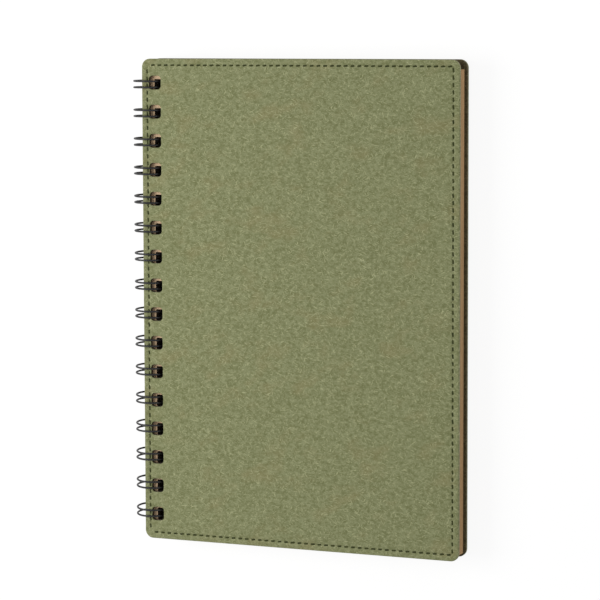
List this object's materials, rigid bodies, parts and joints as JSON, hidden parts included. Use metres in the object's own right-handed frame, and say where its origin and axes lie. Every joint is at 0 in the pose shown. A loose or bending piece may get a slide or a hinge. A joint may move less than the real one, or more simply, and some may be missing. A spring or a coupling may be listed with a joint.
{
  "type": "spiral notebook",
  "caption": "Twin-loop wire-bound notebook with stitched bonded-leather covers that open on the loops and a block of kraft leaves.",
  "frame": {"origin": "middle of the notebook's outline, on the level of the loops' lowest point", "axes": "+X from the spine to the fore-edge, +Y from the foot to the head of the page, +Z out of the front cover"},
  "size_m": [0.1522, 0.212, 0.0156],
  "materials": {
    "cover_leather": "matt bonded leather, olive green",
    "cover_lining": "matt grey-tan backing",
    "thread": "dark olive sewing thread",
    "kraft_paper": "uncoated kraft",
    "black_wire": "satin black coating"
  },
  "bodies": {
    "book_block": {"page_block": "kraft_paper", "twin_loop_wire": "black_wire"},
    "front_cover": {"front_cover_panel": "cover_leather", "front_cover_lining": "cover_lining", "front_cover_thread": "thread"},
    "back_cover": {"back_cover_panel": "cover_leather", "back_cover_lining": "cover_lining", "back_cover_thread": "thread"}
  },
  "joints": [
    {"name": "front_cover_hinge", "type": "hinge", "parent": "book_block", "child": "front_cover", "pos_m": [-0.06866, 0, 0.00893], "axis": [0, -1, 0], "range_deg": [0, 180]},
    {"name": "back_cover_hinge", "type": "hinge", "parent": "book_block", "child": "back_cover", "pos_m": [-0.06866, 0, 0.00673], "axis": [0, 1, 0], "range_deg": [0, 180]}
  ]
}
